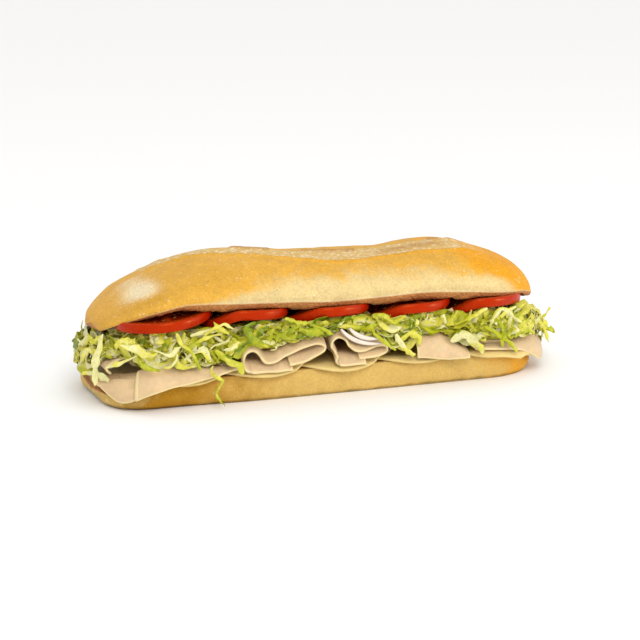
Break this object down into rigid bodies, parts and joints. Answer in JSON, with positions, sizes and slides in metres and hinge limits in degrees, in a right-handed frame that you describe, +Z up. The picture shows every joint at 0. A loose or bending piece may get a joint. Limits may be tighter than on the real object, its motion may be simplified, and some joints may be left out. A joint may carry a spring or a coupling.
{
  "type": "submarine sandwich",
  "caption": "Long crusty roll cut right through and filled with round cheese slices, folded sliced turkey, onion, shredded lettuce and tomato.",
  "frame": {"origin": "middle of the whole sandwich's footprint, on the flat underside of the lower half of the roll", "axes": "+X along the roll towards its narrower end, +Z up, and the dressed front side with the tomato rims faces -Y"},
  "size_m": [0.209, 0.0782, 0.0584],
  "materials": {
    "bread": "matte golden baked crust",
    "cheese": "satin, pale cream",
    "turkey": "moist satin, pale pink-beige",
    "lettuce": "crisp satin, yellow-green",
    "onion": "moist, translucent white",
    "tomato": "wet gloss, red"
  },
  "bodies": {
    "root": {"bread_bottom": "bread", "cheese_1": "cheese", "cheese_2": "cheese", "cheese_3": "cheese", "cheese_4": "cheese", "cheese_5": "cheese", "turkey_1": "turkey", "turkey_2": "turkey", "turkey_3": "turkey", "turkey_4": "turkey", "turkey_5": "turkey", "turkey_6": "turkey", "lettuce": "lettuce", "onion_1": "onion", "onion_2": "onion", "tomato_1": "tomato", "tomato_2": "tomato", "tomato_3": "tomato", "tomato_4": "tomato", "tomato_5": "tomato", "bread_top": "bread"}
  },
  "joints": []
}
